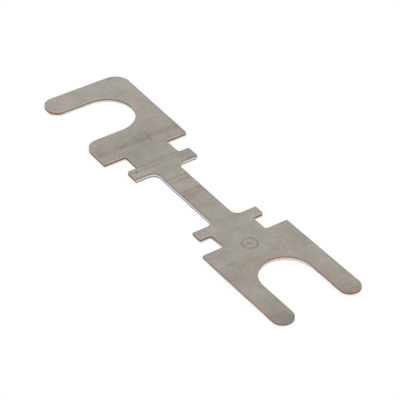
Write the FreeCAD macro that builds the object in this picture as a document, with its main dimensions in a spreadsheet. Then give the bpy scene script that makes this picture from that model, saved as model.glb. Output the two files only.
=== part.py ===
import FreeCAD, Part
import math
import os
import Sketcher
from types import SimpleNamespace

# Bolt-down strip fuse, stamped in one piece from thin plated copper sheet.
#
# The strip lies flat with its underside on Z = 0. X runs along it, from the hook end at -X to the
# fork end at +X, and Y across it. The origin is midway between the two bolts, on the centre line.
# The hook end has a bolt slot that opens sideways, towards -Y, and the fork end one that opens
# endways, towards +X, so that the strip swings in over two loosened bolts. Between the ends lies
# the narrow neck that melts. Two deep windows leave the neck standing between two pairs of tabs,
# and shallower notches part the tabs from the shoulders of the ends.
#
# The outline is punched from below and the windows from above. Each punch rolls over the edge that
# it enters, and leaves the edge where it comes out sharp.

NODE = "fuse_strip"
STEP_FOLDER = "parts"

# Each driving dimension in millimetres: its alias, its value and what it is.
DIMENSIONS = [
    ("sheet_thickness", 0.9, "thickness of the sheet"),
    ("strip_width", 19.0, "width across both ends"),
    ("bolt_spacing", 60.0, "from the hook end's bolt to the fork end's bolt"),
    ("bolt_slot_width", 10.5, "width of the fork's slot, and of the seat round either bolt"),
    ("hook_slot_width", 12.0, "width of the hook's slot, wider so that the spacing can vary"),
    ("hook_end_margin", 11.2, "from the hook's bolt to the end of the strip"),
    ("fork_end_margin", 10.5, "from the fork's bolt to the tips of the prongs"),
    ("hook_shoulder_reach", 13.75, "from the hook's bolt to the shoulder beside the notches"),
    ("fork_shoulder_reach", 12.85, "from the fork's bolt to the shoulder beside the notches"),
    ("waist_width", 9.3, "width left between two notches"),
    ("tab_span", 14.1, "width across a pair of tabs"),
    ("hook_notch_length", 4.5, "from the hook's shoulder to its tabs, along the strip"),
    ("fork_notch_length", 4.15, "from the fork's shoulder to its tabs, along the strip"),
    ("hook_tab_length", 2.9, "length along the strip of the tabs beside the hook"),
    ("fork_tab_length", 2.4, "length along the strip of the tabs beside the fork"),
    ("neck_width", 4.8, "width of the neck that melts"),
    ("neck_fillet", 1.6, "radius where the neck runs into the tabs"),
    ("heel_radius", 3.3, "radius of the hook's outer corner"),
    ("mouth_radius", 2.7, "radius of the corner beside the hook slot's mouth"),
    ("finger_tip_radius", 2.3, "radius of the two corners of the hook's finger"),
    ("prong_tip_flat", 0.04, "flat left at the tip of a prong between its two corners"),
    ("notch_fillet", 0.6, "radius inside the notches"),
    ("corner_radius", 0.25, "radius on the shoulders and on the tabs' back corners"),
    ("edge_roll", 0.12, "radius that a punch rolls over on the edge that it enters"),
]

# How far a punched profile runs past the edge of the blank.
OVERRUN = 2.0
# Two places nearer than this are one place.
SAME_PLACE = 1e-4

# The ends and the centre of a sketched edge, and the sketch's own origin and X axis.
START, END, CENTRE = 1, 2, 3
ORIGIN = (-1, 1)
X_AXIS = -1


def make_sheet(document):
    sheet = document.addObject("Spreadsheet::Sheet", "Dimensions")
    for row, (alias, value, meaning) in enumerate(DIMENSIONS, start=1):
        sheet.set(f"A{row}", meaning)
        sheet.set(f"B{row}", str(value))
        sheet.setAlias(f"B{row}", alias)
    document.recompute()
    return sheet


def read_sizes(sheet):
    return SimpleNamespace(**{alias: float(sheet.get(alias)) for alias, value, meaning in DIMENSIONS})


def find_places(size):
    """Where the bolts, shoulders and tabs stand along X, worked out from the sizes."""
    place = SimpleNamespace()
    place.hook_bolt = -size.bolt_spacing / 2
    place.hook_end = place.hook_bolt - size.hook_end_margin
    place.finger_side = place.hook_bolt - size.hook_slot_width / 2
    place.mouth_side = place.hook_bolt + size.hook_slot_width / 2
    place.hook_shoulder = place.hook_bolt + size.hook_shoulder_reach
    place.hook_tab_back = place.hook_shoulder + size.hook_notch_length
    place.hook_tab_front = place.hook_tab_back + size.hook_tab_length
    place.fork_bolt = size.bolt_spacing / 2
    place.fork_end = place.fork_bolt + size.fork_end_margin
    place.fork_shoulder = place.fork_bolt - size.fork_shoulder_reach
    place.fork_tab_back = place.fork_shoulder - size.fork_notch_length
    place.fork_tab_front = place.fork_tab_back - size.fork_tab_length
    return place


def origin_plane(body, role):
    return next(part for part in body.Origin.OriginFeatures if part.Role == role)


class Profile:
    """A closed outline sketched on the plane of the underside, with its measures bound to the sheet."""

    def __init__(self, body, name):
        self.sketch = body.newObject("Sketcher::SketchObject", name)
        self.sketch.AttachmentSupport = [(origin_plane(body, "XY_Plane"), "")]
        self.sketch.MapMode = "FlatFace"

    def tie(self, kind, *what):
        return self.sketch.addConstraint(Sketcher.Constraint(kind, *what))

    def line(self, start, end):
        """A straight edge that stays level or upright, as it is drawn."""
        edge = Part.LineSegment(FreeCAD.Vector(*start, 0), FreeCAD.Vector(*end, 0))
        index = self.sketch.addGeometry(edge, False)
        self.tie("Vertical" if start[0] == end[0] else "Horizontal", index)
        return index

    def half_round(self, centre, radius, start_angle):
        """Half a circle, anticlockwise from its start."""
        circle = Part.Circle(FreeCAD.Vector(*centre, 0), FreeCAD.Vector(0, 0, 1), radius)
        arc = Part.ArcOfCircle(circle, start_angle, start_angle + math.pi)
        return self.sketch.addGeometry(arc, False)

    def outline(self, corners):
        """Straight edges from each corner to the next, and from the last to the first."""
        edges = [self.line(*pair) for pair in zip(corners, corners[1:] + corners[:1])]
        for edge, after in zip(edges, edges[1:] + edges[:1]):
            self.tie("Coincident", edge, END, after, START)
        return edges

    def bolt_mark(self, name, x):
        """A bolt's centre, on the centre line at half the spacing, for the measures that start there."""
        mark = (self.sketch.addGeometry(Part.Point(FreeCAD.Vector(x, 0, 0)), True), START)
        self.tie("PointOnObject", *mark, X_AXIS)
        ends = (mark, ORIGIN) if x < 0 else (ORIGIN, mark)
        self.measure(name, "DistanceX", *ends, abs(x), "Dimensions.bolt_spacing / 2")
        return mark

    def measure(self, name, kind, first, second, distance, formula=None):
        """From the first point to the second. It follows the cell of that name, or the formula."""
        index = self.tie(kind, *first, *second, distance)
        self.sketch.renameConstraint(index, name)
        self.sketch.setExpression(f"Constraints.{name}", formula or f"Dimensions.{name}")


def draw_blank(body, size, place):
    """The strip's full length and width, with square corners."""
    profile = Profile(body, "blank_outline")
    half_width = size.strip_width / 2
    near_side, fork_end, *_ = profile.outline([
        (place.hook_end, -half_width), (place.fork_end, -half_width),
        (place.fork_end, half_width), (place.hook_end, half_width)])
    hook_bolt = profile.bolt_mark("hook_half_spacing", place.hook_bolt)
    fork_bolt = profile.bolt_mark("fork_half_spacing", place.fork_bolt)
    profile.measure("near_side", "DistanceY", (near_side, START), ORIGIN, half_width,
                    "Dimensions.strip_width / 2")
    profile.measure("strip_width", "DistanceY", (fork_end, START), (fork_end, END), size.strip_width)
    profile.measure("hook_end_margin", "DistanceX", (near_side, START), hook_bolt, size.hook_end_margin)
    profile.measure("fork_end_margin", "DistanceX", fork_bolt, (near_side, END), size.fork_end_margin)
    return profile.sketch


def draw_fork_slot(body, size, place):
    """A slot with a round seat about the fork's bolt, open towards +X."""
    profile = Profile(body, "fork_slot_outline")
    radius = size.bolt_slot_width / 2
    mouth = place.fork_end + OVERRUN
    bolt = profile.bolt_mark("fork_half_spacing", place.fork_bolt)
    seat = profile.half_round((place.fork_bolt, 0), radius, math.pi / 2)
    near_side = profile.line((place.fork_bolt, -radius), (mouth, -radius))
    across = profile.line((mouth, -radius), (mouth, radius))
    far_side = profile.line((mouth, radius), (place.fork_bolt, radius))
    profile.tie("Coincident", seat, CENTRE, *bolt)
    profile.tie("Tangent", seat, END, near_side, START)
    profile.tie("Coincident", near_side, END, across, START)
    profile.tie("Coincident", across, END, far_side, START)
    profile.tie("Tangent", far_side, END, seat, START)
    profile.measure("bolt_slot_width", "DistanceY", (across, START), (across, END), size.bolt_slot_width)
    profile.measure("mouth_reach", "DistanceX", bolt, (near_side, END), size.fork_end_margin + OVERRUN,
                    f"Dimensions.fork_end_margin + {OVERRUN}")
    return profile.sketch


def draw_hook_slot(body, size, place):
    """A slot across the strip, open towards -Y, whose round end is a seat's depth past the bolt."""
    profile = Profile(body, "hook_slot_outline")
    radius = size.hook_slot_width / 2
    seat_depth = size.bolt_slot_width / 2
    round_centre = seat_depth - radius
    mouth = -size.strip_width / 2 - OVERRUN
    bolt = profile.bolt_mark("hook_half_spacing", place.hook_bolt)
    seat = profile.half_round((place.hook_bolt, round_centre), radius, 0)
    finger_side = profile.line((place.finger_side, round_centre), (place.finger_side, mouth))
    across = profile.line((place.finger_side, mouth), (place.mouth_side, mouth))
    mouth_side = profile.line((place.mouth_side, mouth), (place.mouth_side, round_centre))
    profile.tie("Vertical", seat, CENTRE, *bolt)
    profile.tie("Tangent", seat, END, finger_side, START)
    profile.tie("Coincident", finger_side, END, across, START)
    profile.tie("Coincident", across, END, mouth_side, START)
    profile.tie("Tangent", mouth_side, END, seat, START)
    profile.measure("hook_slot_width", "DistanceX", (across, START), (across, END), size.hook_slot_width)
    profile.measure("seat_centre", "DistanceY", (seat, CENTRE), bolt, -round_centre,
                    "(Dimensions.hook_slot_width - Dimensions.bolt_slot_width) / 2")
    profile.measure("mouth_reach", "DistanceY", (across, START), bolt, -mouth,
                    f"Dimensions.strip_width / 2 + {OVERRUN}")
    return profile.sketch


def draw_notches(body, size, place):
    """What is cut from the +Y side: a notch at each shoulder, with the tabs set back between them."""
    profile = Profile(body, "notch_outline")
    waist = size.waist_width / 2
    tab = size.tab_span / 2
    outside = size.strip_width / 2 + OVERRUN
    outer, hook_shoulder, hook_notch, _, tab_side, _, fork_notch, fork_shoulder = profile.outline([
        (place.fork_shoulder, outside), (place.hook_shoulder, outside),
        (place.hook_shoulder, waist), (place.hook_tab_back, waist), (place.hook_tab_back, tab),
        (place.fork_tab_back, tab), (place.fork_tab_back, waist), (place.fork_shoulder, waist)])
    hook_bolt = profile.bolt_mark("hook_half_spacing", place.hook_bolt)
    fork_bolt = profile.bolt_mark("fork_half_spacing", place.fork_bolt)
    profile.measure("hook_shoulder_reach", "DistanceX", hook_bolt, (hook_shoulder, START),
                    size.hook_shoulder_reach)
    profile.measure("hook_notch_length", "DistanceX", (hook_notch, START), (hook_notch, END),
                    size.hook_notch_length)
    profile.measure("fork_notch_length", "DistanceX", (fork_notch, START), (fork_notch, END),
                    size.fork_notch_length)
    profile.measure("fork_shoulder_reach", "DistanceX", (fork_shoulder, START), fork_bolt,
                    size.fork_shoulder_reach)
    profile.measure("hook_waist", "DistanceY", ORIGIN, (hook_notch, START), waist,
                    "Dimensions.waist_width / 2")
    profile.measure("fork_waist", "DistanceY", ORIGIN, (fork_notch, START), waist,
                    "Dimensions.waist_width / 2")
    profile.measure("tab_side", "DistanceY", ORIGIN, (tab_side, START), tab, "Dimensions.tab_span / 2")
    profile.measure("outside", "DistanceY", ORIGIN, (outer, START), outside,
                    f"Dimensions.strip_width / 2 + {OVERRUN}")
    return profile.sketch


def draw_window(body, size, place):
    """What is cut from beside the neck on the +Y side, from one pair of tabs to the other."""
    profile = Profile(body, "window_outline")
    neck = size.neck_width / 2
    outside = size.tab_span / 2 + OVERRUN
    neck_side, _, outer, _ = profile.outline([
        (place.hook_tab_front, neck), (place.fork_tab_front, neck),
        (place.fork_tab_front, outside), (place.hook_tab_front, outside)])
    hook_bolt = profile.bolt_mark("hook_half_spacing", place.hook_bolt)
    fork_bolt = profile.bolt_mark("fork_half_spacing", place.fork_bolt)
    profile.measure("hook_reach", "DistanceX", hook_bolt, (neck_side, START),
                    place.hook_tab_front - place.hook_bolt,
                    "Dimensions.hook_shoulder_reach + Dimensions.hook_notch_length"
                    " + Dimensions.hook_tab_length")
    profile.measure("fork_reach", "DistanceX", (neck_side, END), fork_bolt,
                    place.fork_bolt - place.fork_tab_front,
                    "Dimensions.fork_shoulder_reach + Dimensions.fork_notch_length"
                    " + Dimensions.fork_tab_length")
    profile.measure("neck_side", "DistanceY", ORIGIN, (neck_side, START), neck,
                    "Dimensions.neck_width / 2")
    profile.measure("outside", "DistanceY", ORIGIN, (outer, START), outside,
                    f"Dimensions.tab_span / 2 + {OVERRUN}")
    return profile.sketch


def punch(body, name, sketch):
    """Cuts the sketch's outline through the whole sheet, upwards from the underside."""
    pocket = body.newObject("PartDesign::Pocket", name)
    pocket.Profile = sketch
    pocket.Type = "ThroughAll"
    pocket.Reversed = True
    sketch.Visibility = False
    return pocket


def both_sides(corners):
    """Each place, and its mirror image across the centre line."""
    return [(x, side * y) for x, y in corners for side in (1, -1)]


def same(first, second):
    return abs(first - second) < SAME_PLACE


def upright_edges(shape, corners):
    """The names of the edges that stand upright at these places."""
    names = []
    for index, edge in enumerate(shape.Edges, start=1):
        box = edge.BoundBox
        if box.XLength < SAME_PLACE and box.YLength < SAME_PLACE:
            if any(same(box.XMin, x) and same(box.YMin, y) for x, y in corners):
                names.append(f"Edge{index}")
    return names


def round_corners(body, name, corners, formula):
    """Rounds the upright edges at the corners, all of which have to be there."""
    before = body.Tip
    names = upright_edges(before.Shape, corners)
    if len(names) != len(corners):
        raise RuntimeError(f"{name} finds {len(names)} corners of {len(corners)}")
    return add_fillet(body, name, names, formula)


def add_fillet(body, name, names, formula):
    fillet = body.newObject("PartDesign::Fillet", name)
    fillet.Base = (fillet.BaseFeature, names)
    fillet.setExpression("Radius", formula)
    body.Document.recompute()
    return fillet


def in_window(point, size, place):
    """Whether a point on the strip's outline lies on a wall that the window punches cut."""
    along = place.hook_tab_front - SAME_PLACE < point.x < place.fork_tab_front + SAME_PLACE
    return along and abs(point.y) < size.tab_span / 2 - SAME_PLACE


def rim_edges(shape, level, size, place, windows):
    """The names of the edges at a level that belong to the windows, or to the rest of the outline."""
    names = []
    for index, edge in enumerate(shape.Edges, start=1):
        middle = edge.valueAt((edge.FirstParameter + edge.LastParameter) / 2)
        if edge.BoundBox.ZLength < SAME_PLACE and same(middle.z, level):
            if in_window(middle, size, place) == windows:
                names.append(f"Edge{index}")
    return names


def build_strip(document, sheet):
    size = read_sizes(sheet)
    place = find_places(size)
    half_width = size.strip_width / 2
    tab = size.tab_span / 2
    waist = size.waist_width / 2
    neck = size.neck_width / 2

    body = document.addObject("PartDesign::Body", NODE)
    body.Label = NODE

    blank = body.newObject("PartDesign::Pad", "sheet_blank")
    blank.Profile = draw_blank(body, size, place)
    blank.setExpression("Length", "Dimensions.sheet_thickness")

    punch(body, "fork_slot", draw_fork_slot(body, size, place))
    punch(body, "hook_slot", draw_hook_slot(body, size, place))
    notches = punch(body, "side_notches", draw_notches(body, size, place))
    window = punch(body, "neck_window", draw_window(body, size, place))

    other_side = body.newObject("PartDesign::Mirrored", "other_side")
    other_side.Originals = [notches, window]
    other_side.MirrorPlane = (origin_plane(body, "XZ_Plane"), [""])
    body.Tip = other_side
    document.recompute()

    prong_tips = both_sides([(place.fork_end, half_width), (place.fork_end, size.bolt_slot_width / 2)])
    round_corners(body, "prong_tips", prong_tips,
                  "(Dimensions.strip_width - Dimensions.bolt_slot_width) / 4"
                  " - Dimensions.prong_tip_flat / 2")
    finger_tip = [(place.hook_end, -half_width), (place.finger_side, -half_width)]
    round_corners(body, "finger_tip", finger_tip,
                  "min(Dimensions.finger_tip_radius;"
                  " (Dimensions.hook_end_margin - Dimensions.hook_slot_width / 2) / 2"
                  " - Dimensions.prong_tip_flat / 2)")
    round_corners(body, "heel", [(place.hook_end, half_width)], "Dimensions.heel_radius")
    round_corners(body, "slot_mouth", [(place.mouth_side, -half_width)], "Dimensions.mouth_radius")
    round_corners(body, "neck_roots",
                  both_sides([(place.hook_tab_front, neck), (place.fork_tab_front, neck)]),
                  "Dimensions.neck_fillet")
    round_corners(body, "notch_roots",
                  both_sides([(place.hook_shoulder, waist), (place.hook_tab_back, waist),
                              (place.fork_tab_back, waist), (place.fork_shoulder, waist)]),
                  "Dimensions.notch_fillet")
    round_corners(body, "shoulders_and_tabs",
                  both_sides([(place.hook_shoulder, half_width), (place.hook_tab_back, tab),
                              (place.fork_tab_back, tab), (place.fork_shoulder, half_width)]),
                  "Dimensions.corner_radius")

    outline_rim = rim_edges(body.Tip.Shape, 0, size, place, windows=False)
    add_fillet(body, "outline_roll", outline_rim, "Dimensions.edge_roll")
    window_rim = rim_edges(body.Tip.Shape, size.sheet_thickness, size, place, windows=True)
    add_fillet(body, "window_roll", window_rim, "Dimensions.edge_roll")
    return body


def check_and_export(document, bodies):
    """Stops if any object failed or a shape is unsound. Otherwise writes each body to its own file."""
    for thing in document.Objects:
        if "Invalid" in thing.State or "Error" in thing.State:
            raise RuntimeError(f"{thing.Label} didn't compute: {thing.State}")
    for body in bodies:
        if body.Shape.isNull() or not body.Shape.isValid() or len(body.Shape.Solids) != 1:
            raise RuntimeError(f"{body.Label} isn't one sound solid")
    os.makedirs(STEP_FOLDER, exist_ok=True)
    for body in bodies:
        body.Shape.exportStep(f"{STEP_FOLDER}/{body.Label}.step")
        box = body.Shape.BoundBox
        print(f"{body.Label}: {body.Shape.Volume:.2f} mm3, {box.XLength:.2f} x {box.YLength:.2f}"
              f" x {box.ZLength:.2f} mm, {len(body.Shape.Faces)} faces")


def main():
    document = FreeCAD.newDocument("strip_fuse")
    sheet = make_sheet(document)
    strip = build_strip(document, sheet)
    document.recompute()
    check_and_export(document, [strip])


main()
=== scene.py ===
import math
from types import SimpleNamespace

import bmesh
import bpy
import numpy as np
from bpy.props import FloatProperty, FloatVectorProperty, PointerProperty
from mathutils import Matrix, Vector, geometry, noise


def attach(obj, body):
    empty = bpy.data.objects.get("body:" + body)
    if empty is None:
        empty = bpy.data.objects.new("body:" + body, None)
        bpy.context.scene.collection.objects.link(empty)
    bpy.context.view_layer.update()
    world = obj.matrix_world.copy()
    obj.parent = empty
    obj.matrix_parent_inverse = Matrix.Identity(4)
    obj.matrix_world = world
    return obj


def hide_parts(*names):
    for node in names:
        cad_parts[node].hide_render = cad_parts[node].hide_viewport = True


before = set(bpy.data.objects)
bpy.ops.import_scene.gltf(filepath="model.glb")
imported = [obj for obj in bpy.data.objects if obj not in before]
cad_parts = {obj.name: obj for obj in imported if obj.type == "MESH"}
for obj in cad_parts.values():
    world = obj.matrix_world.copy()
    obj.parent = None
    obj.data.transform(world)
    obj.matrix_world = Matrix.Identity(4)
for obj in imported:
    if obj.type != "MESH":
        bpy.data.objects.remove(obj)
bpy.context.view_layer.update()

bl_info = {
    "name": "Bolt-down strip fuse",
    "version": (1, 0, 0),
    "blender": (4, 5, 0),
    "location": "View3D > Sidebar > Strip Fuse",
    "description": "Makes a punched strip fuse of plated copper and the studio around it",
    "category": "Object",
}

BODY = "root"
CAD_NODE = "fuse_strip"
MM = 0.001
RIM_SHADING_ATTRIBUTE = "painted_rim_light_and_shade"
ROLL_SHADE_ATTRIBUTE = "painted_roll_shade"
PRESS_ATTRIBUTE = "pressed_marks"

# The strip's materials, in the order of its slots.
PLATED, BURNISHED, FRACTURED = range(3)


def tone(red, green, blue):
    """A display colour, 0 to 255, as the linear colour that Blender's sockets take."""
    def linear(level):
        """The standard curve from a display's levels to light."""
        share = level / 255
        return share / 12.92 if share <= 0.04045 else ((share + 0.055) / 1.055) ** 2.4
    return tuple(linear(level) for level in (red, green, blue))


def length(name, description, millimetres):
    """A size that the user can change."""
    return FloatProperty(name=name, description=description, default=millimetres * MM,
                         min=0.0, precision=5, unit="LENGTH")


def colour(name, description, *display):
    """A colour that the user can change, given as it looks on a display, 0 to 255."""
    return FloatVectorProperty(name=name, description=description, default=tone(*display),
                               min=0.0, max=1.0, size=3, subtype="COLOR")


class StripSizes(bpy.types.PropertyGroup):
    """The strip's sizes. X runs along it and its underside is on Z = 0."""
    sheet_thickness: length("Sheet thickness", "Thickness of the sheet", 0.9)
    strip_width: length("Strip width", "Width across both ends", 19.0)
    bolt_spacing: length("Bolt spacing", "From the hook's bolt to the fork's bolt", 60.0)
    bolt_slot_width: length("Bolt slot width", "Width of the fork's slot", 10.5)
    hook_slot_width: length("Hook slot width", "Width of the hook's slot", 12.0)
    hook_end_margin: length("Hook end margin", "From the hook's bolt to the strip's end", 11.2)
    fork_end_margin: length("Fork end margin", "From the fork's bolt to the prongs' tips", 10.5)
    hook_shoulder_reach: length("Hook shoulder", "From the hook's bolt to the shoulder", 13.75)
    fork_shoulder_reach: length("Fork shoulder", "From the fork's bolt to the shoulder", 12.85)
    waist_width: length("Waist width", "Width left between two notches", 9.3)
    tab_span: length("Tab span", "Width across a pair of tabs", 14.1)
    hook_notch_length: length("Hook notch", "From the hook's shoulder to its tabs", 4.5)
    fork_notch_length: length("Fork notch", "From the fork's shoulder to its tabs", 4.15)
    hook_tab_length: length("Hook tab", "Length of the tabs beside the hook", 2.9)
    fork_tab_length: length("Fork tab", "Length of the tabs beside the fork", 2.4)
    neck_width: length("Neck width", "Width of the neck that melts", 4.8)
    neck_fillet: length("Neck fillet", "Radius where the neck runs into the tabs", 1.6)
    heel_radius: length("Heel radius", "Radius of the hook's outer corner", 3.3)
    mouth_radius: length("Mouth radius", "Radius beside the hook slot's mouth", 2.7)
    finger_tip_radius: length("Finger tip radius", "Radius of the hook finger's corners", 2.3)
    prong_tip_flat: length("Prong tip flat", "Flat between a prong's two corners", 0.04)
    notch_fillet: length("Notch fillet", "Radius inside the notches", 0.6)
    corner_radius: length("Corner radius", "Radius on the shoulders and tabs", 0.25)
    edge_roll: length("Edge roll", "How far up the outline's lower rim is rolled over", 0.12)
    side_bow: length("Side bow", "How far the strip's middle is bowed sideways", 0.222)
    hook_burnish: length("Hook burnish", "Smooth height of the edges beside the hook", 0.23)
    slot_burnish: length("Slot burnish", "Smooth height of the hook slot's edge", 0.32)
    fork_burnish: length("Fork burnish", "Smooth height of the edges of the fork end", 0.53)
    tip_burnish_loss: length("Tip burnish loss", "How much lower it is at the prongs' tips", 0.12)
    window_burnish: length("Window burnish", "Smooth height of the edges of the windows", 0.45)
    window_roll: length("Window roll", "How far down the windows' rim is rolled over", 0.2)
    hook_lip: length("Hook lip", "Plated lip above the torn copper beside the hook", 0.16)
    fork_lip: length("Fork lip", "Plated lip above the torn copper at the fork end", 0.025)
    mark_radius: length("Mark radius", "Radius of the plain ring pressed into the fork end", 1.5)
    mark_depth: length("Mark depth", "Depth of the pressed ring and dots", 0.045)


class StripColours(bpy.types.PropertyGroup):
    """The colours of the plating, of the sheared edges and of the floor."""
    plating_cool: colour("Cool plating", "Greenish-grey blotches in the plating", 160, 158, 151)
    plating_warm: colour("Warm plating", "Pinkish blotches in the plating", 166, 159, 151)
    # This brownish colour also paints the shade bands of the sheet's slight kinks.
    stain_and_shade: colour("Stain", "Brownish stains and bands on the plating", 132, 123, 112)
    # Painted highlight on the rims that face the camera; also the colour of the fine scratches.
    rim: colour("Worn rim", "Painted highlight on rims facing the camera, and the scratches' colour", 196, 190, 180)
    # Painted shade in the windows' rolled rims and on the rims that face away from the camera.
    roll: colour("Rolled rim", "Painted shade in rolled rims and on rims facing away from the camera", 102, 99, 94)
    # Painted shade in the pressed ring and dots.
    pressed: colour("Pressed marks", "Dark bottoms of the pressed ring and dots", 112, 107, 99)
    burnish: colour("Burnish", "Edge that the die sheared smooth and bright", 212, 206, 198)
    # Painted reflection of the white floor: lighter copies of the burnish, low on the walls.
    burnish_low_lit: colour("Low burnish", "The same edge near the underside", 228, 223, 215)
    burnish_fork_lit: colour("Fork burnish", "The same edge low down on the fork end", 255, 254, 252)
    burnish_copper: colour("Burnished copper", "Copper tint of the bright edge", 203, 160, 133)
    copper: colour("Torn copper", "Rough copper where the sheet broke away", 163, 123, 101)
    copper_dark: colour("Dark copper", "Tarnish in the pits of the torn copper", 106, 76, 63)
    # Greyer copper: a painted reflection on the walls that face sideways, and greyer in the hook's
    # slot.
    greying: colour("Greyer copper", "Greyer tint of the torn copper, a painted reflection where it faces sideways", 140, 131, 122)
    floor: colour("Floor", "Plain pale floor", 252, 252, 252)


# Places nearer to each other than this, in millimetres, are the same.
SAME_PLACE = 1e-6


class Corner:
    """One corner of the outline as it was punched, and whether the wall after it is a window's."""

    def __init__(self, x, y, radius):
        self.at = np.array((x, y))
        self.radius = radius
        self.window = False


def strip_corners(size):
    """The outline's corners in millimetres, clockwise as seen from above, from the hook's heel.

    Each is written as its X, its Y and its radius, and all of them are right angles."""
    hook_bolt, fork_bolt = -size.bolt_spacing / 2, size.bolt_spacing / 2
    side, tab = size.strip_width / 2, size.tab_span / 2
    waist, neck = size.waist_width / 2, size.neck_width / 2
    seat, slot = size.bolt_slot_width / 2, size.hook_slot_width / 2
    hook_end, fork_end = hook_bolt - size.hook_end_margin, fork_bolt + size.fork_end_margin
    hook_shoulder = hook_bolt + size.hook_shoulder_reach
    hook_tab_back = hook_shoulder + size.hook_notch_length
    hook_tab_front = hook_tab_back + size.hook_tab_length
    fork_shoulder = fork_bolt - size.fork_shoulder_reach
    fork_tab_back = fork_shoulder - size.fork_notch_length
    fork_tab_front = fork_tab_back - size.fork_tab_length
    round_, notch, neck_root = size.corner_radius, size.notch_fillet, size.neck_fillet
    tip = (side - seat - size.prong_tip_flat) / 2
    finger_width = size.hook_end_margin - slot
    finger = min(size.finger_tip_radius, (finger_width - size.prong_tip_flat) / 2)

    far_side = [
        (hook_shoulder, side, round_), (hook_shoulder, waist, notch), (hook_tab_back, waist, notch),
        (hook_tab_back, tab, round_), (hook_tab_front, tab, 0), (hook_tab_front, neck, neck_root),
        (fork_tab_front, neck, neck_root), (fork_tab_front, tab, 0), (fork_tab_back, tab, round_),
        (fork_tab_back, waist, notch), (fork_shoulder, waist, notch), (fork_shoulder, side, round_)]
    near_side = [(x, -y, radius) for x, y, radius in reversed(far_side)]
    prong = [(fork_end, side, tip), (fork_end, seat, tip), (fork_bolt - seat, seat, seat)]
    other_prong = [(x, -y, radius) for x, y, radius in reversed(prong)]
    hook_slot = [(hook_bolt + slot, -side, size.mouth_radius), (hook_bolt + slot, seat, slot),
                 (hook_bolt - slot, seat, slot), (hook_bolt - slot, -side, finger)]
    ends = [(hook_end, -side, finger), (hook_end, side, size.heel_radius)]
    every = ends[1:] + far_side + prong + other_prong + near_side + hook_slot + ends[:1]
    corners = [Corner(*corner) for corner in every]
    for corner, after in zip(corners, corners[1:] + corners[:1]):
        reach = max(abs(corner.at[1]), abs(after.at[1]))
        between_tabs = all(
            hook_tab_front - SAME_PLACE < end.at[0] < fork_tab_front + SAME_PLACE
            for end in (corner, after))
        corner.window = between_tabs and reach < tab + SAME_PLACE
    return corners


# Longest step along the outline in millimetres, and fewest steps round a rounded corner.
OUTLINE_STEP = 0.25
CORNER_STEPS = 7


def trace_outline(corners):
    """Points along the outline, the way inwards at each, and whether each is on a window's wall.

    A rounded corner is a quarter turn, because every corner is a right angle."""
    points, inwards, windows = [], [], []
    befores, afters = corners[-1:] + corners[:-1], corners[1:] + corners[:1]
    for before, corner, after in zip(befores, corners, afters):
        back = (before.at - corner.at) / np.linalg.norm(before.at - corner.at)
        on = (after.at - corner.at) / np.linalg.norm(after.at - corner.at)
        # The strip lies to the right of a clockwise outline.
        inward_before = np.array((-back[1], back[0]))
        inward_after = np.array((on[1], -on[0]))
        if corner.radius:
            centre = corner.at + (back + on) * corner.radius
            steps = max(CORNER_STEPS, math.ceil(corner.radius * math.pi / 2 / OUTLINE_STEP))
            for step in range(steps + 1):
                turn = step / steps * math.pi / 2
                way = math.cos(turn) * inward_before + math.sin(turn) * inward_after
                outward = on * math.cos(turn) + back * math.sin(turn)
                points.append(centre - outward * corner.radius)
                inwards.append(way)
                windows.append(corner.window)
        else:
            points.append(corner.at)
            inwards.append(inward_before + inward_after)
            windows.append(False)
        start, end = corner.at + on * corner.radius, after.at - on * after.radius
        steps = math.ceil(np.linalg.norm(end - start) / OUTLINE_STEP)
        for step in range(1, steps):
            points.append(start + (end - start) * step / steps)
            inwards.append(inward_after)
            windows.append(corner.window)
    points = np.array(points)
    # Two arcs of a half round meet in one point.
    apart = np.linalg.norm(points - np.roll(points, 1, axis=0), axis=1) > SAME_PLACE
    return points[apart], np.array(inwards)[apart], np.array(windows)[apart]


# The sheared edge, in millimetres: how far in the flat starts, how far in and how soon the copper
# breaks away, how far in it tears, and how far the lip is rounded.
DISH_REACH = 0.2
BREAK_STEP = 0.012
BREAK_DROP = 0.02
TEAR = 0.02
LIP_ROUND = 0.02
# How much of the lip's rounding is left where it is as far in as the tear.
LIP_CURL = 0.3
# How far down the torn copper its rings lie, and how many steps the rolled rim has.
TEAR_RINGS = (0.35, 0.7, 1.0)
ROLL_STEPS = 5
# How wide the rolled rims are, as a share of their depth.
ROLL_WIDTH_SHARE = 0.4
# How far the press squeezed the sheared edges out past the nominal outline.
EDGE_SPREAD = 0.05
# Where along X the fork end's edges begin, and how long the change to them takes.
FORK_EDGE_START = 14.0
FORK_EDGE_BLEND = 2.0
# Where along X the copper of the prongs' tips begins to widen, and how long that takes.
PRONG_TIP_START = 35.5
PRONG_TIP_BLEND = 1.5
# How far past the hook slot's own walls its edge still reaches.
SLOT_MARGIN = 0.01
# How far below the top the painted shade in the windows' rolled rims begins, and where it ends,
# as a share of the roll.
ROLL_SHADE_DEPTH = 0.012
ROLL_SHADE_END = 1.1
# How far short of the flat the painted rim highlight and shade ends.
RIM_MARGIN = 0.01
# How the zones of the wall waver along the outline: height, waves per millimetre, seed. Only the
# middle of the wall wavers, between these shares of the thickness.
WAVERS = [(0.035, 0.45, 1.3), (0.025, 1.7, 4.1)]
WAVER_START, WAVER_END = 0.2, 0.85
# How ragged the torn copper is: depth, waves per millimetre, seed.
RAGGED_DEPTH, RAGGED_SCALE, RAGGED_SEED = 0.016, 2.9, 7.7
# Where Blender's noise is cut through for these.
NOISE_SLICE = 0.37
# The way towards the camera, level with the floor. Rims that face this way get a painted highlight
# and the others a painted shade, and the bite is how sharply that turns with the way they face.
TOWARDS_CAMERA = np.array((0.83, -0.56))
RIM_LIGHT_BITE = 2


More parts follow.
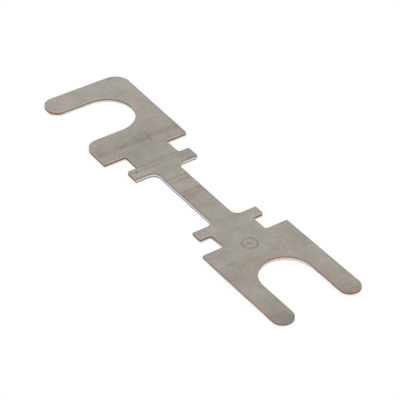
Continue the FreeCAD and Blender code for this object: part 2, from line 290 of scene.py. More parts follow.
def edge_profile(size, depth, roll_finish, burnish, lip):
    """A sheared edge from the face that the punch enters: how far in, how deep and which finish.

    The punch rolls that face over to the depth, shears a burnished height, and tears the rest."""
    reach, thickness = depth * ROLL_WIDTH_SHARE, size.sheet_thickness
    smooth_end = depth + burnish
    lip_start = thickness - lip
    rings = [(DISH_REACH, 0.0, PLATED)]
    for step in range(ROLL_STEPS + 1):
        turn = step / ROLL_STEPS * math.pi / 2
        rings.append((reach * (1 - math.sin(turn)), depth * (1 - math.cos(turn)), roll_finish))
    rings.append((0.0, depth + burnish / 2, BURNISHED))
    rings.append((0.0, smooth_end, BURNISHED))
    rings.append((BREAK_STEP, smooth_end + BREAK_DROP, FRACTURED))
    for share in TEAR_RINGS:
        rings.append((BREAK_STEP + (TEAR - BREAK_STEP) * share,
                      smooth_end + (lip_start - smooth_end) * share, FRACTURED))
    rings.append((TEAR / 2, thickness - LIP_ROUND, PLATED))
    rings.append((TEAR, thickness - LIP_ROUND * LIP_CURL, PLATED))
    rings.append((TEAR + LIP_ROUND, thickness, PLATED))
    rings.append((DISH_REACH, thickness, PLATED))
    return rings


def wobble(along, scale, seed):
    """Smooth random heights, about -1 to 1, along the outline."""
    return np.array([noise.noise(Vector((s * scale, seed, NOISE_SLICE))) for s in along])


def burnish_and_lip(size, points, inwards):
    """How high the burnished band and the lip are at each of the outline's points."""
    forkward = np.clip((points[:, 0] - FORK_EDGE_START) / FORK_EDGE_BLEND, 0, 1)
    tipward = np.clip((points[:, 0] - PRONG_TIP_START) / PRONG_TIP_BLEND, 0, 1)
    slot = size.hook_slot_width / 2 + SLOT_MARGIN
    in_slot = (abs(points[:, 0] + size.bolt_spacing / 2) < slot) & (points[:, 1] < slot)
    burnish = np.where(in_slot, size.slot_burnish, size.hook_burnish)
    burnish = burnish + (size.fork_burnish - size.tip_burnish_loss * tipward - burnish) * forkward
    # Walls that face sideways have the fork end's thin lip wherever they are.
    thin_lip = np.maximum(forkward, inwards[:, 1] ** 2)
    return burnish, size.hook_lip + (size.fork_lip - size.hook_lip) * thin_lip


def wall_rings(size, points, inwards, windows):
    """Every ring of the wall, underside first: its points, and each one's finish, painted rim light
    and shade.
    """
    along = np.cumsum(np.linalg.norm(points - np.roll(points, 1, axis=0), axis=1))
    burnish, lip = burnish_and_lip(size, points, inwards)
    outline = edge_profile(size, size.edge_roll, BURNISHED, burnish, lip)
    window = edge_profile(size, size.window_roll, PLATED, size.window_burnish, LIP_ROUND)
    thickness = size.sheet_thickness
    waver = sum(rise * wobble(along, scale, seed) for rise, scale, seed in WAVERS)
    ragged = RAGGED_DEPTH * (0.5 + 0.5 * wobble(along, RAGGED_SCALE, RAGGED_SEED))
    count = len(outline)
    # Rims that face the camera get a painted highlight, above 0, and those that face away a painted
    # shade, below 0; the windows' rims get only the shade.
    facing = np.clip(-RIM_LIGHT_BITE * inwards @ TOWARDS_CAMERA, -1, 1)
    facing = np.where(windows, np.minimum(facing, 0), facing)
    rings, finishes = [], []
    marks = {RIM_SHADING_ATTRIBUTE: [], ROLL_SHADE_ATTRIBUTE: []}
    for level in range(count):
        # The outline's punch comes from below and the windows' from above.
        low_in, low_depth, low_finish = outline[level]
        top_in, top_depth, top_finish = window[count - 1 - level]
        inset = np.where(windows, top_in, low_in)
        height = np.where(windows, thickness - top_depth, low_depth)
        finish = np.where(windows, top_finish, low_finish)
        torn = finish == FRACTURED
        middle = (height > WAVER_START * thickness) & (height < WAVER_END * thickness)
        height = height + np.where(middle, waver, 0)
        inset = inset + np.where(torn, ragged, 0)
        spot = points + inwards * (inset - EDGE_SPREAD)[:, None]
        rings.append(np.column_stack((spot, height)))
        finishes.append(finish)
        rim = inset < DISH_REACH - RIM_MARGIN
        below = thickness - height
        # The windows' rolled rims get a painted shade.
        rolled = windows & (below > ROLL_SHADE_DEPTH) & (below < size.window_roll * ROLL_SHADE_END)
        marks[RIM_SHADING_ATTRIBUTE].append(np.where(rim, facing, 0.0))
        marks[ROLL_SHADE_ATTRIBUTE].append(np.where(rolled, 1.0, 0.0))
    return rings, finishes, marks


def inside(ring, spots, clearance):
    """Which spots lie within the ring, no nearer to its points than the clearance."""
    x, y = spots[:, 0], spots[:, 1]
    odd = np.zeros(len(spots), bool)
    for start, end in zip(ring, np.roll(ring, -1, axis=0)):
        if start[1] != end[1]:
            crosses = (start[1] > y) != (end[1] > y)
            meets = (end[0] - start[0]) * (y - start[1]) / (end[1] - start[1]) + start[0]
            odd ^= crosses & (x < meets)
    kept = spots[odd]
    near = np.full(len(kept), np.inf)
    for point in ring:
        near = np.minimum(near, ((kept - point) ** 2).sum(1))
    return kept[near > clearance ** 2]


def hex_grid(low, high, spacing):
    """Spots in staggered rows from the low to the high corner."""
    rows = np.arange(low[1], high[1], spacing * math.sqrt(3) / 2)
    spots = [(x + (spacing / 2 if row % 2 else 0), y)
             for row, y in enumerate(rows) for x in np.arange(low[0], high[0], spacing)]
    return np.array(spots)


# Where the plain ring and the rows of dots are pressed into the top, in millimetres.
RING_CENTRE = (18.92, -0.14)
RING_GROOVE = 0.16
FIRST_DOT_X, DOT_SPACING, DOTS_IN_ROW, DOT_ROWS = -21.9, 1.2, 5, (0.1, 2.5)
DOTS = [(FIRST_DOT_X + DOT_SPACING * step, row) for row in DOT_ROWS for step in range(DOTS_IN_ROW)]
DOT_RADIUS = 0.3
CENTRE_DOT_RADIUS = DOT_RADIUS * 1.2
# How deep the dots are, as a share of the ring's depth.
DOT_SHARE = 0.75


def pressed_depth(size, x, y):
    """How deep the ring and the dots are pressed into the top at each spot."""
    from_centre = np.hypot(x - RING_CENTRE[0], y - RING_CENTRE[1])
    depth = np.exp(-(((from_centre - size.mark_radius) / RING_GROOVE) ** 2))
    depth += np.exp(-((from_centre / CENTRE_DOT_RADIUS) ** 2))
    for dot_x, dot_y in DOTS:
        depth += DOT_SHARE * np.exp(-((np.hypot(x - dot_x, y - dot_y) / DOT_RADIUS) ** 2))
    return size.mark_depth * np.minimum(depth, 1)


# Shallow waves that the rolls and the press leave in the sheet: place along X, width, height.
WAVES = [(-30.0, 4.0, 0.4), (-19.25, 0.9, 0.9), (-11.8, 0.4, 0.4), (-10.6, 0.4, 0.4),
         (-5.2, 0.4, 0.6), (-3.85, 0.4, 0.5), (-0.3, 0.5, 0.7), (9.6, 1.6, 0.3), (24.8, 2.5, 0.4)]
WAVE_HEIGHT = 0.009


def sheet_wave(x):
    """How far the whole sheet dips, from 0 to WAVE_HEIGHT."""
    dip = sum(share * np.exp(-(((x - place) / width) ** 2)) for place, width, share in WAVES)
    return WAVE_HEIGHT * np.minimum(dip, 1)


# The flat faces' points, in millimetres: how far apart they are, and closer at the pressed marks
# and a margin round them, and how far they stay from the wall and from each other.
FACE_SPACING = 0.5
MARK_SPACING = 0.09
MARK_MARGIN = 0.7
WALL_GAP = 0.2
PATCH_GAP = 0.05


def loose_spots(size, ring, spots, pressed):
    """The spots within the ring, with a close patch of more at each mark if it is pressed."""
    patches = []
    if pressed:
        marks = [(RING_CENTRE, size.mark_radius)] + [(dot, 0.0) for dot in DOTS]
        for centre, radius in marks:
            centre, reach = np.array(centre), radius + MARK_MARGIN
            spots = spots[np.hypot(*(spots - centre).T) > reach]
            patch = hex_grid(centre - reach, centre + reach, MARK_SPACING)
            patches.append(patch[np.hypot(*(patch - centre).T) < reach - PATCH_GAP])
    return inside(ring, np.vstack([spots] + patches), WALL_GAP)


def cap(first_ring, first_spot, ring, spots):
    """Triangles that fill the ring, through the loose spots, as ids of the mesh's points."""
    count = len(ring)
    flat = [Vector(p) for p in ring] + [Vector(p) for p in spots]
    boundary = [(i, (i + 1) % count) for i in range(count)]
    within_ring, tolerance = 1, 1e-7
    made, _, faces, origins, _, _ = geometry.delaunay_2d_cdt(
        flat, boundary, [list(range(count))], within_ring, tolerance)
    if len(made) != len(flat):
        raise RuntimeError("the outline crosses itself")
    ids = [first_ring + origin[0] if origin[0] < count else first_spot + origin[0] - count
           for origin in origins]
    return [[ids[i] for i in face] for face in faces]


def wall_faces(finishes, windows):
    """The faces between the rings of the wall, as ids of its points, and each one's finish."""
    columns = len(windows)
    faces, face_finish = [], []
    for level in range(len(finishes) - 1):
        for column in range(columns):
            after = (column + 1) % columns
            low, high = level * columns, (level + 1) * columns
            faces.append((low + column, high + column, high + after, low + after))
            # A face takes the finish of the deeper of its two rings, as the punch met them.
            ring = level if windows[column] else level + 1
            face_finish.append(int(finishes[ring][column]))
    return faces, face_finish


# Points above this share of the thickness are on the top.
TOP_SHARE = 0.9


def press_and_bow(size, flat):
    """The flat strip's points with its waves, pressed marks and bow, and how marked each is."""
    thickness = size.sheet_thickness
    x, y, z = flat.T
    dip, pressed = sheet_wave(x), pressed_depth(size, x, y)
    low_height, top_height = WAVE_HEIGHT - dip, thickness - dip - pressed
    share = z / thickness
    height = low_height * (1 - share) + top_height * share
    # The bow is a parabola that leaves the bolts where they are.
    bowed = y + size.side_bow * ((x / (size.bolt_spacing / 2)) ** 2 - 1)
    marked = pressed / size.mark_depth * (z > thickness * TOP_SHARE)
    return np.column_stack((x, bowed, height)), marked


def strip_mesh(size):
    """The punched strip as one closed mesh, in metres."""
    points, inwards, windows = trace_outline(strip_corners(size))
    rings, finishes, marks = wall_rings(size, points, inwards, windows)
    faces, face_finish = wall_faces(finishes, windows)
    spots = [tuple(p) for ring in rings for p in ring]
    marks = {name: [value for ring in values for value in ring] for name, values in marks.items()}
    grid = hex_grid(points.min(0), points.max(0), FACE_SPACING)
    for upper in (False, True):
        level = len(rings) - 1 if upper else 0
        ring = rings[level][:, :2]
        free = loose_spots(size, ring, grid, pressed=upper)
        triangles = cap(level * len(points), len(spots), ring, free)
        height = size.sheet_thickness if upper else 0.0
        spots += [(x, y, height) for x, y in free]
        for values in marks.values():
            values += [0.0] * len(free)
        for triangle in triangles:
            faces.append(triangle if upper else triangle[::-1])
            face_finish.append(PLATED)
    place, marks[PRESS_ATTRIBUTE] = press_and_bow(size, np.array(spots))

    mesh = bpy.data.meshes.new("punched_strip")
    mesh.from_pydata([tuple(p * MM) for p in place], [], [tuple(f) for f in faces])
    mesh.polygons.foreach_set("material_index", face_finish)
    for name, values in marks.items():
        attribute = mesh.attributes.new(name, "FLOAT", "POINT")
        attribute.data.foreach_set("value", np.array(values, np.float32))
    finish_mesh(mesh)
    return mesh


# Faces that meet at more than this angle keep a crisp edge between them.
CRISP_ANGLE = math.radians(35)


def finish_mesh(mesh):
    """Outward normals, smooth shading and crisp edges. Stops if the mesh isn't closed."""
    work = bmesh.new()
    work.from_mesh(mesh)
    bmesh.ops.recalc_face_normals(work, faces=work.faces)
    for face in work.faces:
        face.smooth = True
    for edge in work.edges:
        if not edge.is_manifold:
            raise RuntimeError(f"{mesh.name} isn't closed")
        edge.smooth = edge.calc_face_angle() < CRISP_ANGLE
    work.to_mesh(mesh)
    work.free()
    mesh.validate()
    mesh.update()


class Value:
    """A socket's value. Python's operators on it add the Math nodes that work the result out."""

    def __init__(self, shader, socket):
        self.shader = shader
        self.socket = socket

    def __add__(self, other):
        return self.shader.maths("ADD", self, other)

    def __sub__(self, other):
        return self.shader.maths("SUBTRACT", self, other)

    def __rsub__(self, other):
        return self.shader.maths("SUBTRACT", other, self)

    def __mul__(self, other):
        return self.shader.maths("MULTIPLY", self, other)

    def __truediv__(self, other):
        return self.shader.maths("DIVIDE", self, other)

    def __rtruediv__(self, other):
        return self.shader.maths("DIVIDE", other, self)

    def __neg__(self):
        return self.shader.maths("MULTIPLY", self, -1.0)

    __radd__ = __add__
    __rmul__ = __mul__


class Shader:
    """The node tree of a material or of the world."""

    def __init__(self, owner):
        owner.use_nodes = True
        self.tree = owner.node_tree
        self.tree.nodes.clear()

    def node(self, kind, settings=None, sockets=None, output=0):
        """Adds a node. Its settings are set first, and then the values or links of its sockets."""
        made = self.tree.nodes.new(kind)
        for name, value in (settings or {}).items():
            setattr(made, name, value)
        for name, value in (sockets or {}).items():
            socket = made.inputs[name]
            if isinstance(value, Value):
                self.tree.links.new(value.socket, socket)
            elif socket.type == "RGBA":
                socket.default_value = (*value[:3], 1.0)
            else:
                socket.default_value = value
        return Value(self, made.outputs[output]) if made.outputs else made

    def maths(self, operation, *values):
        """A Math node on the values."""
        return self.node("ShaderNodeMath", {"operation": operation}, dict(enumerate(values)))

    def mix(self, share, first, second):
        """The first colour at a share of 0, the second at 1, and a blend between them."""
        return self.node("ShaderNodeMix", {"data_type": "RGBA"},
                         {0: share, 6: first, 7: second}, output=2)

    def bell(self, distance):
        """1 where the distance is 0, falling to nothing beyond about 2 either way."""
        return self.maths("EXPONENT", -(distance * distance))

    def step(self, value, low, high):
        """0 at low and beyond it, 1 at high and beyond it, and smooth between them."""
        return self.node("ShaderNodeMapRange", {"interpolation_type": "SMOOTHSTEP"},
                         {"Value": value, "From Min": low, "From Max": high})

    def cloud(self, place, fineness=(1, 1, 1), shift=(0, 0, 0), detail=3.0, roughness=0.5,
              scale=1.0):
        """Soft noise, 0 to 1, whose features are about a millimetre across at a scale of 1.

        The fineness along X, Y and Z makes them shorter that way above 1 and longer below it. A
        shift keeps them from lying where another cloud's do."""
        axes = [axis if fine == 1 else axis * fine for axis, fine in zip(place, fineness)]
        axes = [axis + far if far else axis for axis, far in zip(axes, shift)]
        vector = self.node("ShaderNodeCombineXYZ", None, dict(zip("XYZ", axes)))
        return self.node(
            "ShaderNodeTexNoise", {"noise_dimensions": "3D"},
            {"Vector": vector, "Scale": scale, "Detail": detail, "Roughness": roughness})

    def attribute(self, name):
        """A number that the mesh keeps for each of its points."""
        return self.node("ShaderNodeAttribute", {"attribute_name": name}, output="Fac")

    def place(self):
        """The place on the object in millimetres, as X, Y and Z."""
        at = self.node("ShaderNodeTexCoord", output="Object")
        at = self.node("ShaderNodeVectorMath", {"operation": "SCALE"},
                       {"Vector": at, "Scale": 1 / MM})
        return [self.node("ShaderNodeSeparateXYZ", None, {"Vector": at}, name) for name in "XYZ"]

    def towards_fork(self, x):
        """0 on the hook's side, 1 where the edges are the fork end's."""
        return self.step(x, FORK_EDGE_START, FORK_EDGE_START + FORK_EDGE_BLEND)

    def within(self, distance, reach, fade):
        """1 up to the fade's length short of the reach, either way, and 0 beyond the reach."""
        return self.step(self.maths("ABSOLUTE", distance), reach, reach - fade)

    def bump(self, height, distance):
        """A normal from a height between 0 and 1, for a relief of the distance in millimetres."""
        return self.node("ShaderNodeBump", None, {"Height": height, "Distance": distance * MM})

    def metal(self, base, metallic, roughness, normal):
        """The metal's surface, as the material's output."""
        surface = self.node("ShaderNodeBsdfPrincipled", None,
                            {"Base Color": base, "Metallic": metallic, "Roughness": roughness,
                             "Normal": normal})
        self.node("ShaderNodeOutputMaterial", None, {"Surface": surface})


# The middle of a cloud's noise.
CLOUD_MIDDLE = 0.5


def sway(cloud):
    """How far a cloud is above its middle, or below it."""
    return cloud - CLOUD_MIDDLE


# Painted shade and highlight bands across the plating, where the sheet's slight kinks turn the
# light: place along X, width, strength. A strength below zero is a painted highlight band.
SHEEN_BANDS = [(-38.0, 3.5, -0.1), (-19.2, 0.65, 0.33), (-20.3, 1.5, 0.14), (-16.5, 2.6, 0.12),
         (-11.8, 0.28, 0.24), (-10.62, 0.28, 0.33), (-6.1, 0.5, -0.16), (-5.2, 0.26, 0.38),
         (-3.85, 0.26, 0.34), (-3.0, 0.5, -0.06), (-1.7, 0.8, -0.1), (-0.4, 0.34, 0.4),
         (0.85, 0.9, 0.3), (11.5, 1.2, -0.1), (24.8, 1.8, 0.12), (35.0, 1.6, 0.08)]
# Where the bands are browner than the rest: as for the bands.
BROWN_BANDS = [(-11.8, 0.3, 0.03), (-10.6, 0.3, 0.03), (-4.5, 1.6, 0.03), (0.9, 0.8, 0.07)]
# Darker patches on the plating, the largest at the prongs' tips: centre X and Y, half sizes along
# X and Y, strength.
DARK_PATCHES = [(40.4, 7.0, 2.6, 3.5, 0.5), (40.6, -7.4, 4.5, 3.5, 0.6), (22.05, -7.0, 0.3, 0.6, 0.3),
         (-19.6, 1.4, 2.6, 2.4, 0.1), (17.5, -6.5, 3.5, 2.5, 0.1), (26.0, -3.5, 3.0, 3.0, 0.08)]
# A dark fleck on one tab: its place, and its half length and half width, askew.
SPECK, SPECK_LENGTH, SPECK_WIDTH = (-10.62, -5.95), 0.55, 0.2
# Where the plating is warmer than the rest, or cooler below zero: as for the blots.
WARMTH = [(-31.0, 7.0, 4.5, 2.5, 0.5), (-22.5, 5.0, 2.5, 2.5, 0.4), (29.0, 7.5, 8.0, 2.8, 0.5),
          (25.5, -4.0, 4.5, 3.0, 0.6), (-39.5, -6.0, 2.0, 4.0, 0.4), (40.0, 7.0, 2.5, 3.0, 0.6),
          (-14.2, 0.0, 1.9, 6.0, -0.7), (-37.0, 4.5, 3.0, 3.0, -0.6), (13.0, 1.0, 3.5, 4.0, -0.6),
          (39.0, -7.4, 3.5, 3.0, -0.9), (-19.5, -2.0, 2.5, 5.0, -0.4)]


# How much of the brownish colour the plating takes everywhere, and what its patterns add or take;
# the bands in it are painted shade and highlight.
SOIL = 0.29
STAIN_SOIL, BLOTCH_SOIL, STREAK_SOIL, MOTTLE_SOIL, GRAIN_SOIL = 0.12, 0.7, 0.45, 0.8, 0.35
# Where noise turns into stains and tints: from none and to full.
STAIN_RANGE, TINT_RANGE = (0.56, 0.75), (0.3, 0.7)
# Two sets of fine scratches, from noise that is stretched askew: how much of the strip's X and Y
# goes into the noise's X and into its Y, its scale, and where it turns into scratches.
SCRATCHES = [((0.25, 0.16), (-5.2, 3.6), 1.0, (0.68, 0.74)),
             ((0.2, -0.3), (3.4, 5.0), 0.9, (0.7, 0.76))]
# How much of the plating each mark covers. The pressed, rolled-rim and rim marks are painted
# shade and highlight.
PRESSED_SHADE_COVER, SCRATCH_COVER, ROLL_SHADE_COVER, SPECK_COVER = 0.6, 0.16, 0.9, 0.9
RIM_HIGHLIGHT_COVER, RIM_SHADE_COVER = 0.6, 0.7
# The plating's roughness, and what its patterns add or take.
PLATING_ROUGHNESS = 0.4
BLOTCH_ROUGHNESS, MOTTLE_ROUGHNESS, BAND_ROUGHNESS, SCRATCH_SHINE = 0.14, 0.14, 0.1, 0.05
# The depth of its relief in millimetres, and the share that each pattern raises it or lowers it.
PLATING_RELIEF = 0.004
GRAIN_RISE, MOTTLE_RISE, STREAK_RISE, SCRATCH_DIP = 0.5, 0.6, 0.8, 0.5


def bands_across(shader, x, rows):
    """Soft bands across the strip."""
    return sum(shader.bell((x - at_x) / width) * strength for at_x, width, strength in rows)


def soft_spots(shader, x, y, rows):
    """Soft spots of any length and width."""
    return sum(shader.bell((x - at_x) / half_x) * shader.bell((y - at_y) / half_y) * strength
               for at_x, at_y, half_x, half_y, strength in rows)


def fine_scratches(shader, place):
    """1 in a scratch, more where scratches of both sets cross, and 0 beside them."""
    x, y, z = place
    scratches = 0
    for (x_to_x, y_to_x), (x_to_y, y_to_y), scale, scratched in SCRATCHES:
        askew = (x * x_to_x + y * y_to_x, y * y_to_y + x * x_to_y, z)
        scratches += shader.step(shader.cloud(askew, detail=2.0, scale=scale), *scratched)
    return scratches


def plated_face(colours):
    """Satin plating: painted shade and highlight bands across the strip, blotches, stains, fine
    scratches, and painted light and shade on the rims and in the marks.
    """
    material = bpy.data.materials.new("satin_plating")
    shader = Shader(material)
    place = shader.place()
    x, y = place[:2]
    streaks = shader.cloud(place, fineness=(0.8, 0.04, 0.2), detail=4.0, roughness=0.6)
    blotches = shader.cloud(place, roughness=0.55, scale=0.3)
    tints = shader.cloud(place, shift=(0, 60.0, 0), roughness=0.6, scale=0.45)
    mottle = shader.cloud(place, detail=5.0, roughness=0.68, scale=1.3)
    grain = shader.cloud(place, fineness=(9.0, 0.6, 1), roughness=0.6)
    stains = shader.cloud(place, fineness=(1, 0.8, 1), shift=(40.0, 0, 0), detail=4.0,
                          roughness=0.55, scale=0.35)
    stains = shader.step(stains, *STAIN_RANGE)

    bands = bands_across(shader, x, SHEEN_BANDS) * (CLOUD_MIDDLE + mottle)
    brown = bands_across(shader, x, BROWN_BANDS) * (CLOUD_MIDDLE + mottle)
    # Darker patches, the largest at the prongs' tips.
    dark_patches = soft_spots(shader, x, y, DARK_PATCHES)
    warmth = soft_spots(shader, x, y, WARMTH)
    speck_x, speck_y = x - SPECK[0], y - SPECK[1]
    speck = (shader.bell((speck_x + speck_y) / SPECK_WIDTH)
             * shader.bell((speck_x - speck_y) / SPECK_LENGTH))
    scratches = fine_scratches(shader, place)

    rim_light_and_shade, rolled, pressed = (
        shader.attribute(name) for name in (RIM_SHADING_ATTRIBUTE, ROLL_SHADE_ATTRIBUTE, PRESS_ATTRIBUTE))
    base = shader.mix(shader.step(tints, *TINT_RANGE) + warmth,
                      colours.plating_cool, colours.plating_warm)
    # Stains and noise, with the painted shade and highlight bands of the sheet's kinks.
    soil_and_sheen = (SOIL + bands + dark_patches + stains * STAIN_SOIL + sway(blotches) * BLOTCH_SOIL
              + sway(streaks) * STREAK_SOIL + sway(mottle) * MOTTLE_SOIL
              + sway(grain) * GRAIN_SOIL)
    base = shader.mix(soil_and_sheen, base, colours.stain_and_shade)
    base = shader.mix(brown, base, colours.burnish_copper)
    # Painted shade in the pressed ring and dots.
    base = shader.mix(pressed * PRESSED_SHADE_COVER, base, colours.pressed)
    base = shader.mix(scratches * SCRATCH_COVER, base, colours.rim)
    # Towards the fork end the rims that face the camera take a copper line in place of the painted
    # highlight.
    rim = shader.mix(shader.towards_fork(x), colours.rim, colours.copper)
    # Painted highlight on the rims that face the camera, and painted shade on those that face away.
    base = shader.mix(shader.maths("MAXIMUM", rim_light_and_shade, 0.0) * RIM_HIGHLIGHT_COVER, base, rim)
    base = shader.mix(shader.maths("MAXIMUM", -rim_light_and_shade, 0.0) * RIM_SHADE_COVER, base, colours.roll)
    # Painted shade in the windows' rolled rims.
    base = shader.mix(rolled * ROLL_SHADE_COVER, base, colours.roll)
    base = shader.mix(speck * SPECK_COVER, base, colours.copper_dark)

    roughness = (PLATING_ROUGHNESS + sway(blotches) * BLOTCH_ROUGHNESS
                 + sway(mottle) * MOTTLE_ROUGHNESS + bands * BAND_ROUGHNESS
                 - scratches * SCRATCH_SHINE)
    height = (grain * GRAIN_RISE + mottle * MOTTLE_RISE + streaks * STREAK_RISE
              - scratches * SCRATCH_DIP)
    shader.metal(base, metallic=1.0, roughness=roughness,
                 normal=shader.bump(height, PLATING_RELIEF))
    return material


# The middle of the hook's slot along X in millimetres, how far from it the slot's edges end, and
# how sharply.
HOOK_SLOT_X = -30.0
SLOT_EDGE_END = 6.25
SLOT_EDGE_FADE = 0.2
# The closed end of the fork's slot: where along X it begins to give way to the prongs' walls and
# where they have taken over, how far out sideways it is looked for, and how sharply.
ARCH_FADE_START, ARCH_FADE_END = 28.5, 31.0
ARCH_SIDE = 6.5
ARCH_SIDE_FADE = 0.5
# Between which heights the painted reflection of the white floor on the low burnish gives way
# to the plain burnish, and how much higher that lies on the fork end's walls, painted lightest.
LOW_BURNISH_END, PLAIN_BURNISH_START = 0.1, 0.5
FORK_LIT_RISE = 0.12
# Where noise turns into smears of copper: from none and to full.
SMEAR_RANGE = (0.48, 0.74)
# How much copper shows in the smears and in the scores, how much more in the hook's slot, and
# how much less low down on the fork end's walls, where the floor's reflection is painted.
SMEAR_COPPER, SCORE_COPPER, SLOT_COPPER, FORK_LIT_COPPER_LOSS = 0.35, 0.3, 0.2, 0.8
BURNISH_ROUGHNESS, SCORE_ROUGHNESS = 0.24, 0.18
SCORE_RELIEF = 0.008


def burnished_edge(colours):
    """Bright metal that the die sheared smooth, scored from face to face, and painted lighter low
    down as a reflection of the white floor.
    """
    material = bpy.data.materials.new("burnished_edge")
    shader = Shader(material)
    place = x, y, z = shader.place()
    scores = shader.cloud(place, fineness=(7.0, 7.0, 0.7), roughness=0.6)
    smears = shader.cloud(place, fineness=(1.4, 1.4, 2.2), roughness=0.6)
    smears = shader.step(smears, *SMEAR_RANGE)
    in_arch = (shader.step(x, ARCH_FADE_END, ARCH_FADE_START)
               * shader.within(y, ARCH_SIDE, ARCH_SIDE_FADE))
    # Low on the walls the burnish is painted lighter as a reflection of the white floor, lightest
    # and reaching higher on the fork end, but not at its slot's closed end.
    bright = shader.towards_fork(x) * (1.0 - in_arch)
    high = shader.step(z - bright * FORK_LIT_RISE, LOW_BURNISH_END, PLAIN_BURNISH_START)
    low = shader.mix(bright, colours.burnish_low_lit, colours.burnish_fork_lit)
    base = shader.mix(high, low, colours.burnish)
    coppery = smears * SMEAR_COPPER + sway(scores) * SCORE_COPPER
    coppery = coppery * (1.0 - bright * (1.0 - high) * FORK_LIT_COPPER_LOSS)
    in_slot = shader.within(x - HOOK_SLOT_X, SLOT_EDGE_END, SLOT_EDGE_FADE)
    base = shader.mix(coppery + in_slot * SLOT_COPPER, base, colours.burnish_copper)
    shader.metal(base, metallic=1.0, roughness=BURNISH_ROUGHNESS + scores * SCORE_ROUGHNESS,
                 normal=shader.bump(scores, SCORE_RELIEF))
    return material


# Where noise turns into tarnished pits: from none and to full.
PIT_RANGE = (0.62, 0.34)
# How tarnished the pits are, how much less on the fork end, and what broad patches add or take.
PIT_TARNISH, FORK_TARNISH_LOSS, PATCH_TARNISH = 0.75, 0.35, 0.5
# How much greyer the torn copper is painted on the walls that face sideways, as a reflection,
# at least, what patches add, what share the fork end loses, and how much more there is in the
# hook's slot.
SIDEWAYS_GREYING, PATCH_GREYING, FORK_GREYING_LOSS, SLOT_GREYING = 0.4, 0.6, 0.5, 0.5
TORN_METALLIC = 0.9
TORN_ROUGHNESS, PIT_ROUGHNESS = 0.5, 0.2
PIT_RELIEF = 0.03


def fractured_edge(colours):
    """Rough bare copper where the sheet tore, tarnished in its pits."""
    material = bpy.data.materials.new("fractured_edge")
    shader = Shader(material)
    place = shader.place()
    x = place[0]
    pits = shader.cloud(place, fineness=(1, 1, 0.8), detail=6.0, roughness=0.65, scale=7.0)
    patches = shader.cloud(place, scale=0.8)
    forkward = shader.towards_fork(x)
    tarnish = shader.step(pits, *PIT_RANGE) * (PIT_TARNISH - forkward * FORK_TARNISH_LOSS)
    tarnish = tarnish + sway(patches) * PATCH_TARNISH
    base = shader.mix(tarnish, colours.copper, colours.copper_dark)
    facing = shader.node("ShaderNodeTexCoord", output="Normal")
    sideways = shader.node("ShaderNodeSeparateXYZ", None, {"Vector": facing}, "Y")
    squared = sideways * sideways
    # Walls that face sideways are painted greyer, as a reflection.
    greying = squared * squared * (SIDEWAYS_GREYING + patches * PATCH_GREYING)
    in_slot = shader.within(x - HOOK_SLOT_X, SLOT_EDGE_END, SLOT_EDGE_FADE)
    greying = greying * (1.0 - forkward * FORK_GREYING_LOSS) + in_slot * SLOT_GREYING
    base = shader.mix(greying, base, colours.greying)
    shader.metal(base, metallic=TORN_METALLIC, roughness=TORN_ROUGHNESS + pits * PIT_ROUGHNESS,
                 normal=shader.bump(pits, PIT_RELIEF))
    return material


WHITE = (1.0, 1.0, 1.0)
# How much of the floor's look is plain white; the rest keeps the object's shadow.
FLOOR_GLOW = 0.94
# The floor's side in metres and its roughness, and the strength of the room's light.
FLOOR_SIZE = 3.0
FLOOR_ROUGHNESS = 0.9
ROOM_LIGHT = 1.0

# The camera in metres, degrees and millimetres of focal length, as the photograph was taken.
CAMERA_PLACE = (0.229412, -0.155046, 0.213552)
CAMERA_TURN = (52.1689, -0.1571, 55.8028)
CAMERA_LENS = 166.18

# Soft lamps, which face the object: name, place in metres, size in metres, power in watts.
LAMPS = [
    ("overhead_softbox", (0.05, 0.1, 0.75), 0.6, 0.5),
    ("window_side_softbox", (-0.55, 0.25, 0.45), 0.5, 0.15),
]


def lit_for_camera(shader, plain, white, share):
    """A share of white to the camera, and in gloss and glass, and the plain shader to the rest."""
    camera, gloss, glass = (
        shader.node("ShaderNodeLightPath", output=ray)
        for ray in ("Is Camera Ray", "Is Glossy Ray", "Is Transmission Ray"))
    seen = shader.maths("MAXIMUM", shader.maths("MAXIMUM", camera, gloss), glass)
    return shader.node("ShaderNodeMixShader", None, {0: seen * share, 1: plain, 2: white})


def pale_floor(colours):
    """The matt floor, which the camera sees as white but for the object's shadow."""
    material = bpy.data.materials.new("pale_floor")
    shader = Shader(material)
    matt = shader.node("ShaderNodeBsdfPrincipled", None,
                       {"Base Color": colours.floor, "Roughness": FLOOR_ROUGHNESS,
                        "Specular IOR Level": 0.0})
    white = shader.node("ShaderNodeEmission", None, {"Color": WHITE, "Strength": 1.0})
    mixed = lit_for_camera(shader, matt, white, FLOOR_GLOW)
    shader.node("ShaderNodeOutputMaterial", None, {"Surface": mixed})
    return material


def millimetres(group):
    """A copy of the sizes as plain numbers in millimetres."""
    return SimpleNamespace(**{name: getattr(group, name) / MM for name in group.__annotations__})


class STRIPFUSE_OT_make_strip(bpy.types.Operator):
    """Makes the punched strip with its sheared edges, and its plating and bare copper"""
    bl_idname = "strip_fuse.make_strip"
    bl_label = "Make the strip"

    def execute(self, context):
        size = millimetres(context.scene.strip_sizes)
        colours = context.scene.strip_colours
        mesh = strip_mesh(size)
        for finish in (plated_face, burnished_edge, fractured_edge):
            mesh.materials.append(finish(colours))
        strip = bpy.data.objects.new("punched_strip", mesh)
        context.collection.objects.link(strip)
        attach(strip, BODY)
        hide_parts(CAD_NODE)
        return {"FINISHED"}


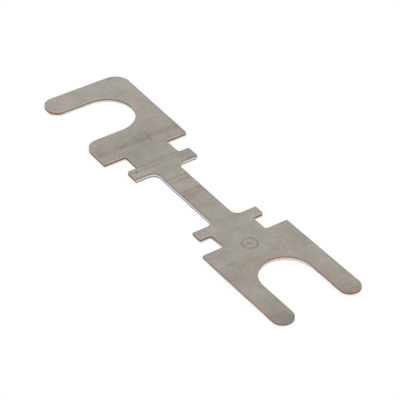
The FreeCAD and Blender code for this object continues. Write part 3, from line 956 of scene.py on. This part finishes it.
class STRIPFUSE_OT_set_stage(bpy.types.Operator):
    """Sets up the pale floor, the soft lamps, the bright room and the camera"""
    bl_idname = "strip_fuse.set_stage"
    bl_label = "Set the stage"

    def execute(self, context):
        scene = context.scene
        scene.view_settings.view_transform = "Standard"
        self.lay_floor(context)
        self.light_room(scene)
        self.hang_lamps(context)
        self.place_camera(context)
        return {"FINISHED"}

    @staticmethod
    def hang_lamps(context):
        """Hangs the soft lamps, turned towards the object."""
        for name, place, size, power in LAMPS:
            lamp = bpy.data.lights.new(name, "AREA")
            lamp.shape = "SQUARE"
            lamp.size = size
            lamp.energy = power
            holder = bpy.data.objects.new(name, lamp)
            holder.location = place
            holder.rotation_euler = (-Vector(place)).to_track_quat("-Z", "Y").to_euler()
            context.collection.objects.link(holder)

    @staticmethod
    def place_camera(context):
        """Places the camera where the photograph was taken from."""
        view = bpy.data.cameras.new("photo_camera")
        view.lens = CAMERA_LENS
        view.dof.use_dof = False
        camera = bpy.data.objects.new("photo_camera", view)
        camera.location = CAMERA_PLACE
        camera.rotation_euler = [math.radians(angle) for angle in CAMERA_TURN]
        context.collection.objects.link(camera)
        context.scene.camera = camera

    @staticmethod
    def lay_floor(context):
        """Lays the square floor under the object."""
        half = FLOOR_SIZE / 2
        mesh = bpy.data.meshes.new("floor")
        mesh.from_pydata([(-half, -half, 0), (half, -half, 0), (half, half, 0), (-half, half, 0)],
                         [], [(0, 1, 2, 3)])
        mesh.materials.append(pale_floor(context.scene.strip_colours))
        floor = bpy.data.objects.new("floor", mesh)
        context.collection.objects.link(floor)

    @staticmethod
    def light_room(scene):
        """Lights the object evenly from all round, in front of plain white."""
        scene.world = bpy.data.worlds.new("bright_room")
        shader = Shader(scene.world)
        room = shader.node("ShaderNodeBackground", None, {"Color": WHITE, "Strength": ROOM_LIGHT})
        white = shader.node("ShaderNodeBackground", None, {"Color": WHITE, "Strength": 1.0})
        mixed = lit_for_camera(shader, room, white, 1.0)
        shader.node("ShaderNodeOutputWorld", None, {"Surface": mixed})


class STRIPFUSE_PT_panel(bpy.types.Panel):
    """The strip fuse's sizes, colours and makers"""
    bl_idname = "STRIPFUSE_PT_panel"
    bl_label = "Strip Fuse"
    bl_space_type = "VIEW_3D"
    bl_region_type = "UI"
    bl_category = "Strip Fuse"

    def draw(self, context):
        for operator in OPERATORS:
            self.layout.operator(operator.bl_idname)
        for group in (context.scene.strip_sizes, context.scene.strip_colours):
            box = self.layout.box()
            for name in group.__annotations__:
                box.prop(group, name)


OPERATORS = (STRIPFUSE_OT_make_strip, STRIPFUSE_OT_set_stage)
CLASSES = (StripSizes, StripColours, *OPERATORS, STRIPFUSE_PT_panel)


def register():
    """Makes the classes and the scene's two groups known to Blender."""
    for kind in CLASSES:
        bpy.utils.register_class(kind)
    bpy.types.Scene.strip_sizes = PointerProperty(type=StripSizes)
    bpy.types.Scene.strip_colours = PointerProperty(type=StripColours)


def unregister():
    """Takes back what register did."""
    del bpy.types.Scene.strip_colours
    del bpy.types.Scene.strip_sizes
    for kind in reversed(CLASSES):
        bpy.utils.unregister_class(kind)


def main():
    """Makes the strip and its stage."""
    register()
    bpy.ops.strip_fuse.make_strip()
    bpy.ops.strip_fuse.set_stage()


if __name__ == "__main__":
    main()
